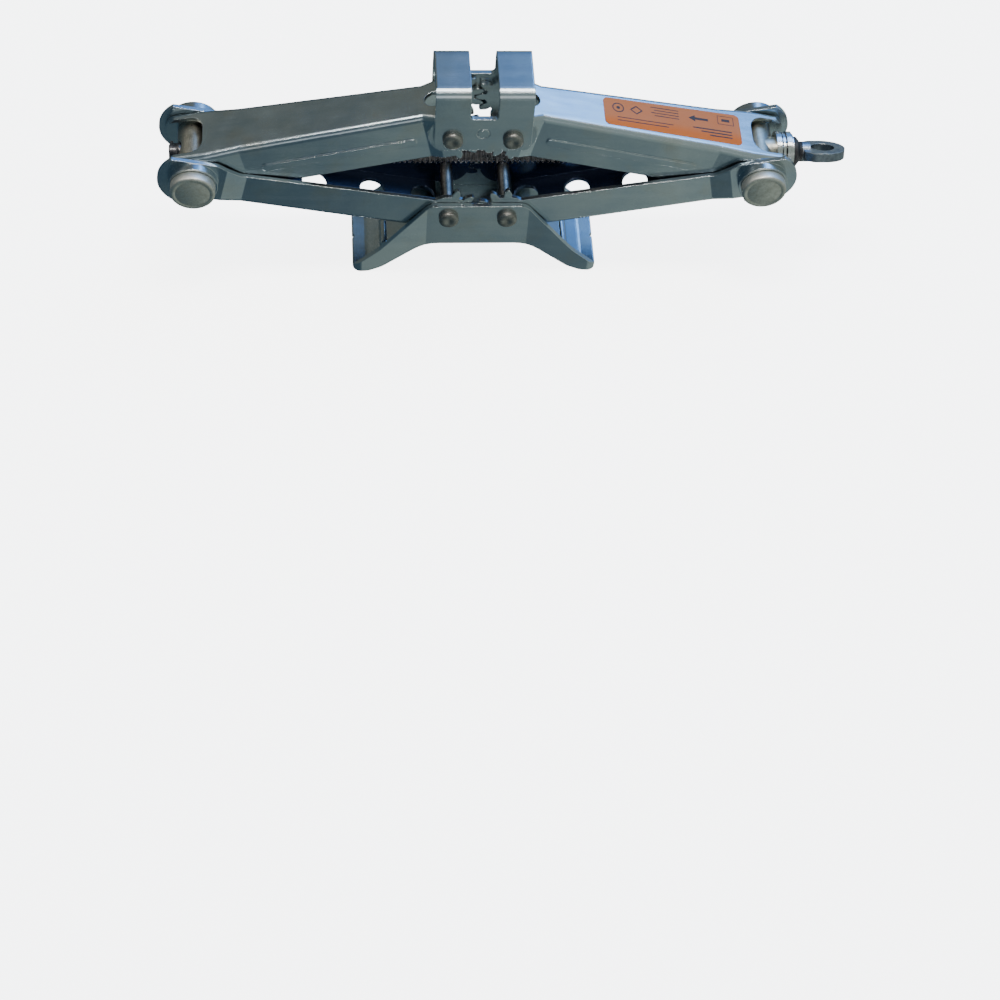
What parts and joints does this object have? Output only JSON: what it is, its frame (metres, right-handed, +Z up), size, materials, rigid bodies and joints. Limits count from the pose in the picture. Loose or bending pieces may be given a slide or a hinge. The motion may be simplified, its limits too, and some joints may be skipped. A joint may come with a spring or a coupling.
{
  "type": "scissor car jack",
  "caption": "Scissor car jack: pressed steel arms with geared ends between a footed base bracket and a slotted saddle, raised by a lead screw with a drive eye.",
  "frame": {"origin": "on the ground under the middle of the base bracket, halfway between the base pivots", "axes": "+X along the lead screw towards the drive eye, +Y across the jack, +Z up towards the saddle"},
  "size_m": [0.4021, 0.0619, 0.1428],
  "materials": {
    "zinc_plate": "zinc plated, satin, with a blue-green passivate tint",
    "rivet_steel": "bare steel, satin",
    "trunnion_steel": "yellowish zinc plate, satin",
    "greased_screw": "black oxide under dark grease",
    "bearing_steel": "polished hard steel",
    "black_collar": "matt black",
    "eye_steel": "forged, dark blue-grey, satin",
    "label_film": "orange printed film"
  },
  "bodies": {
    "base": {"base_bracket": "zinc_plate", "base_pin_left": "rivet_steel", "base_pin_right": "rivet_steel"},
    "lower_arm_left": {"lower_arm_left": "zinc_plate"},
    "lower_arm_right": {"lower_arm_right": "zinc_plate"},
    "trunnion_left": {"trunnion_nut": "trunnion_steel", "trunnion_nut_caps": "trunnion_steel"},
    "trunnion_right": {"trunnion_bearing_block": "trunnion_steel", "trunnion_block_caps": "trunnion_steel", "fixed_thrust_race": "bearing_steel"},
    "upper_arm_left": {"upper_arm_left": "zinc_plate"},
    "upper_arm_right": {"upper_arm_right": "zinc_plate", "instruction_label": "label_film"},
    "saddle": {"saddle_bracket": "zinc_plate", "saddle_pin_left": "rivet_steel", "saddle_pin_right": "rivet_steel"},
    "screw": {"lead_screw": "greased_screw", "screw_stop_pin": "greased_screw", "turning_thrust_race": "bearing_steel", "thrust_washer": "bearing_steel", "drive_collar": "black_collar", "drive_eye": "eye_steel", "eye_roll_pin": "rivet_steel"},
    "bearing_cage": {"thrust_balls": "bearing_steel", "ball_cage": "bearing_steel"}
  },
  "joints": [
    {"name": "lift", "type": "hinge", "parent": "base", "child": "lower_arm_left", "pos_m": [-0.0172, 0, 0.0454], "axis": [0, 1, 0], "range_deg": [-2, 50]},
    {"name": "lower_right_swing", "type": "hinge", "parent": "base", "child": "lower_arm_right", "pos_m": [0.0172, 0, 0.0454], "axis": [0, 1, 0], "range_deg": [-50, 2]},
    {"name": "nut_trunnion_turn", "type": "hinge", "parent": "lower_arm_left", "child": "trunnion_left", "pos_m": [-0.165, 0, 0.0766], "axis": [0, 1, 0], "range_deg": [-50, 2]},
    {"name": "block_trunnion_turn", "type": "hinge", "parent": "lower_arm_right", "child": "trunnion_right", "pos_m": [0.165, 0, 0.0766], "axis": [0, 1, 0], "range_deg": [-2, 50]},
    {"name": "upper_left_swing", "type": "hinge", "parent": "lower_arm_left", "child": "upper_arm_left", "pos_m": [-0.165, 0, 0.0766], "axis": [0, 1, 0], "range_deg": [-100, 4]},
    {"name": "saddle_level", "type": "hinge", "parent": "upper_arm_left", "child": "saddle", "pos_m": [-0.0172, 0, 0.1078], "axis": [0, 1, 0], "range_deg": [-2, 50]},
    {"name": "upper_right_swing", "type": "hinge", "parent": "saddle", "child": "upper_arm_right", "pos_m": [0.0172, 0, 0.1078], "axis": [0, 1, 0], "range_deg": [-2, 50]},
    {"name": "screw_spin", "type": "hinge", "parent": "trunnion_right", "child": "screw", "pos_m": [0.165, 0, 0.0766], "axis": [1, 0, 0], "continuous": true},
    {"name": "cage_spin", "type": "hinge", "parent": "trunnion_right", "child": "bearing_cage", "pos_m": [0.165, 0, 0.0766], "axis": [1, 0, 0], "continuous": true}
  ],
  "couplings": [
    {"joint": "lower_right_swing", "follows": "lift", "ratio": -1},
    {"joint": "nut_trunnion_turn", "follows": "lift", "ratio": -1},
    {"joint": "block_trunnion_turn", "follows": "lift", "ratio": 1},
    {"joint": "upper_left_swing", "follows": "lift", "ratio": -2},
    {"joint": "saddle_level", "follows": "lift", "ratio": 1},
    {"joint": "upper_right_swing", "follows": "lift", "ratio": 1},
    {"joint": "cage_spin", "follows": "screw_spin", "ratio": 0.5}
  ]
}
